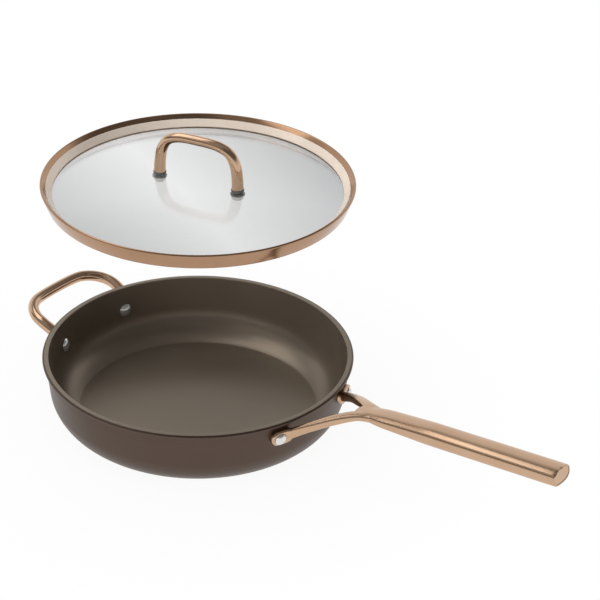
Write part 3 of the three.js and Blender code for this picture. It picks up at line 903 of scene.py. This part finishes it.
def lid_glass(painted_light_edge):
    """Domed pane. Its edge in the rim's channel is painted pale, in the colour of the rim's slope,
    as painted light where the channel lies in shade.
    """
    e = GLASS_EDGE
    radii = [DOME_R * i / DOME_STEPS for i in range(DOME_STEPS + 1)]
    profile = [
        *((r, GLASS_Z + dome(r)) for r in radii),
        (FOLD_R, GLASS_Z),
        *arc(GLASS_R - e, GLASS_Z + e, e, -HALF, 0, EDGE_STEPS),
        *arc(GLASS_R - e, GLASS_TOP - e, e, 0, HALF, EDGE_STEPS),
        (FOLD_R, GLASS_TOP),
        *((r, GLASS_TOP + dome(r)) for r in reversed(radii)),
    ]
    piece = turned("lid_pane", profile, ROUND_STEPS, LID_PLACE)
    dress(piece, "lid_glass", "lid", "pane", glass(), painted_light_edge)
    # painted light on the pane's edge inside the channel
    for face in piece.data.polygons:
        if face.center.xy.length > FOLD_R:
            face.material_index = 1


def lid_handle(metal):
    def side(sign):
        return [Vector((sign * (FOOT_U - inward), 0, FOOT_Z + up)) for inward, up in LOOP_PATH]

    top = Vector((0, 0, FOOT_Z + LOOP_TOP))
    path = [LID_PLACE @ p for p in smooth_path([*side(-1), top, *reversed(side(1))])]

    def section_at(t):
        return section(between(LOOP_HALF, middle(t)), between(LOOP_HALF_W, middle(t)))

    across = LID_PLACE.to_3x3() @ Vector((0, 1, 0))
    piece = swept("lid_handle_bar", path, section_at, across)
    dress(piece, "lid_handle", "lid", "rose_gold", metal)


def washer(inner, outer, low, high, edge):
    """Profile of a flat ring with round edges."""
    return [
        *arc(inner + edge, low + edge, edge, math.pi, 3 * HALF, EDGE_STEPS),
        *arc(outer - edge, low + edge, edge, -HALF, 0, EDGE_STEPS),
        *arc(outer - edge, high - edge, edge, 0, HALF, EDGE_STEPS),
        *arc(inner + edge, high - edge, edge, HALF, math.pi, EDGE_STEPS),
    ]


def lid_feet(metal, rubber, clear_rubber):
    """Ring, seal and screw at each foot of the lid's handle."""
    hole = SCREW_R + GAP
    head_end = SCREW_SEAT - SCREW_HEAD_T
    ring = washer(hole, RING_R, RING_Z, RING_Z + RING_T, RING_ROUND)
    seal = washer(hole, SEAL_R, SEAL_TOP - SEAL_T, SEAL_TOP, SEAL_ROUND)
    tip = FOOT_Z + SCREW_BITE
    screw = [
        (0, head_end),
        *arc(SCREW_HEAD_R - SCREW_ROUND, head_end + SCREW_ROUND, SCREW_ROUND, -HALF, 0),
        (SCREW_HEAD_R, SCREW_SEAT),
        (SCREW_R, SCREW_SEAT),
        (SCREW_R, tip - SCREW_ROUND),
        (SCREW_R - SCREW_ROUND, tip),
        (0, tip),
    ]
    for side, u in FEET.items():
        place = LID_PLACE @ Matrix.Translation((u, 0, 0))
        ring_piece = turned(f"lid_foot_ring_{side}", ring, SMALL_STEPS, place, closed=True)
        dress(ring_piece, f"lid_handle_ring_{side}", "lid", "silicone", rubber)
        seal_piece = turned(f"lid_foot_seal_{side}", seal, SMALL_STEPS, place, closed=True)
        dress(seal_piece, f"lid_handle_seal_{side}", "lid", "silicone", clear_rubber)
        screw_piece = turned(f"lid_foot_screw_{side}", screw, SMALL_STEPS, place)
        dress(screw_piece, f"lid_handle_screw_{side}", "lid", "steel", metal)


def camera():
    level = Vector((math.sin(CAMERA_AZIMUTH), -math.cos(CAMERA_AZIMUTH), 0))
    back = level * math.cos(CAMERA_ELEVATION) + UP * math.sin(CAMERA_ELEVATION)
    aimed = back.to_track_quat("Z", "Y").to_matrix().to_4x4()
    data = bpy.data.cameras.new("camera")
    data.sensor_width = SENSOR_MM
    data.lens = CAMERA_LENS_MM
    eye = bpy.data.objects.new("camera", data)
    roll = Matrix.Rotation(CAMERA_ROLL, 4, "Z")
    eye.matrix_world = Matrix.Translation(CAMERA_PLACE) @ aimed @ roll
    bpy.context.collection.objects.link(eye)
    bpy.context.scene.camera = eye


def seen(n):
    """1 where the background is seen straight, in metal or through glass."""
    ray = n.add("LightPath").outputs
    seen_plain = {0: ray["Is Camera Ray"], 1: ray["Is Glossy Ray"]}
    plain = n.add("Math", seen_plain, operation="MAXIMUM").outputs[0]
    return n.add("Math", {0: plain, 1: ray["Is Transmission Ray"]}, operation="MAXIMUM").outputs[0]


def floor():
    """Pale floor that stays white away from the object and keeps its soft shadow near it."""
    corners = [(x * GROUND_R, y * GROUND_R, 0) for x, y in ((-1, -1), (1, -1), (1, 1), (-1, 1))]
    ground = mesh_object("floor", corners, [[0, 1, 2, 3]], Matrix.Translation((0, 0, -GAP)))
    n = Nodes.of("floor")
    n.shader.inputs["Roughness"].default_value = GROUND_ROUGH
    n.shader.inputs["Specular IOR Level"].default_value = GROUND_SHINE
    n.tree.links.new(n.mixed(n.noise(300), *GROUND), n.shader.inputs["Base Color"])
    distance = n.add("VectorMath", {0: n.place}, operation="LENGTH").outputs["Value"]
    far = n.ranged(distance, GROUND_WHITE, 1, *GROUND_SHADOW_R)
    share = n.add("Math", {0: seen(n), 1: far}, operation="MULTIPLY")
    white = n.add("Emission", {"Color": (1, 1, 1, 1), "Strength": 1.0})
    blend = n.add("MixShader", {0: share.outputs[0], 1: n.shader.outputs[0], 2: white.outputs[0]})
    n.tree.links.new(blend.outputs[0], n.tree.nodes["Material Output"].inputs["Surface"])
    ground.data.materials.append(n.material)


def lamp(name, place, aim, size, power):
    data = bpy.data.lights.new(name, "AREA")
    data.shape = "RECTANGLE"
    data.size, data.size_y = size
    data.energy = power
    made = bpy.data.objects.new(name, data)
    made.location = place
    made.rotation_euler = (Vector(aim) - Vector(place)).to_track_quat("-Z", "Y").to_euler()
    bpy.context.collection.objects.link(made)
    return made


def patch(n, sides, ranges):
    """1 in the part of the sky whose direction lies within the ranges, with soft edges."""
    share = None
    for side, (low, high) in ranges.items():
        for end, inside in ((low, 1), (high, 0)):
            step = n.ranged(sides[side], 1 - inside, inside, end - SKY_SOFT, end + SKY_SOFT)
            if share:
                step = n.add("Math", {0: share, 1: step}, operation="MULTIPLY").outputs[0]
            share = step
    return share


def sky():
    """White studio with dimmer patches that metal shows; its horizon is seen as plain white."""
    world = bpy.data.worlds.new("studio")
    world.use_nodes = True
    n = Nodes(world.node_tree)
    direction = n.add("SeparateXYZ", {"Vector": n.add("TexCoord").outputs["Generated"]}).outputs
    sides = dict(zip("xyz", direction))
    colour = n.add("RGB").outputs[0]
    colour.default_value = (SKY, SKY, SKY, 1)
    for level, ranges in PATCHES:
        colour = n.mixed(patch(n, sides, ranges), colour, (level, level, level))
    share = n.add("Math", {0: seen(n), 1: patch(n, sides, HORIZON)}, operation="MULTIPLY")
    colour = n.mixed(share.outputs[0], colour, (1, 1, 1))
    n.tree.links.new(colour, n.tree.nodes["Background"].inputs["Color"])
    bpy.context.scene.world = world


def light():
    """Sky, a softbox that the metal shows and two fills that it does not."""
    sky()
    lamp("softbox", *SOFTBOX)
    fill = lamp("fill", *FILL)
    fill.visible_glossy = False
    high = lamp("high_fill", *HIGH_FILL)
    high.visible_glossy = False
    high.visible_transmission = False
    bpy.context.scene.view_settings.view_transform = "Standard"


bar_metal = rose_gold("rose_gold", *BAR_FINISH)
stem_metal = rose_gold("rose_gold_stem", *STEM_FINISH)
bright_metal = steel()
pan_body()
long_handle(stem_metal)
side_handle(bar_metal)
rivets(bright_metal)
# paler copper: painted light on the rim's slope, in its channel and on the pane's edge
painted_light_metal = rim_painted_light()
lid_rim(rim_metal(), painted_light_metal)
lid_glass(painted_light_metal)
lid_handle(bar_metal)
lid_feet(
    bright_metal,
    silicone("silicone", DARK_SILICONE),
    silicone("pale_silicone", PALE_SILICONE),
)
camera()
floor()
light()
